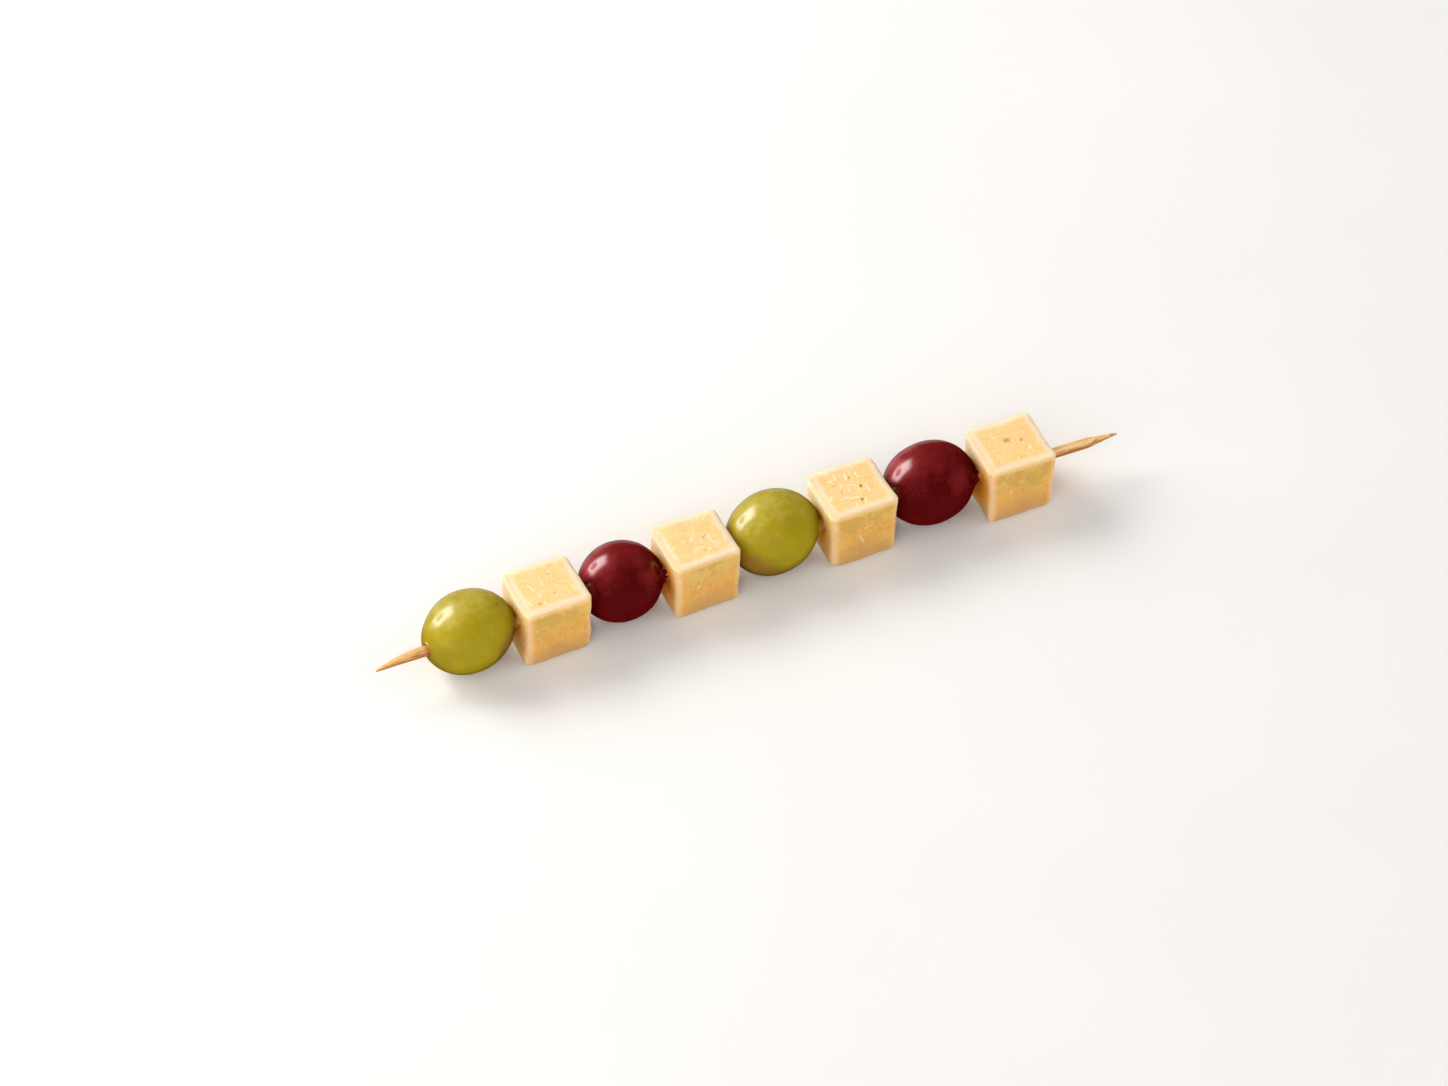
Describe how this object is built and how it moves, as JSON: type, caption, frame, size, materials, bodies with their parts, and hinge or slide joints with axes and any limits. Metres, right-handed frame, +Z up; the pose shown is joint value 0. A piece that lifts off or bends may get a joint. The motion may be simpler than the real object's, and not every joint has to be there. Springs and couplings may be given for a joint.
{
  "type": "cheese and grape skewer",
  "caption": "Snack skewer lying flat: green and red grapes and soft-edged cheese cubes in turn on a pointed round bamboo stick that shows at both ends.",
  "frame": {"origin": "middle of the bounding box at the level that the cubes stand on", "axes": "+X along the stick from its long slanting point to its short point at the last cheese cube, +Z up, +Y to the back"},
  "size_m": [0.2, 0.0218, 0.0211],
  "materials": {
    "bamboo": "bare split bamboo, sanded round, fine fibres along its length",
    "green_skin": "taut green grape skin, waxy gloss",
    "red_skin": "taut dark red grape skin, waxy gloss with faint bloom",
    "cheese": "cut firm yellow cheese, satin, faint pits and pale crumbs"
  },
  "bodies": {
    "root": {"stick": "bamboo", "grape_green_1": "green_skin", "cheese_1": "cheese", "grape_red_1": "red_skin", "cheese_2": "cheese", "grape_green_2": "green_skin", "cheese_3": "cheese", "grape_red_2": "red_skin", "cheese_4": "cheese"}
  },
  "joints": []
}
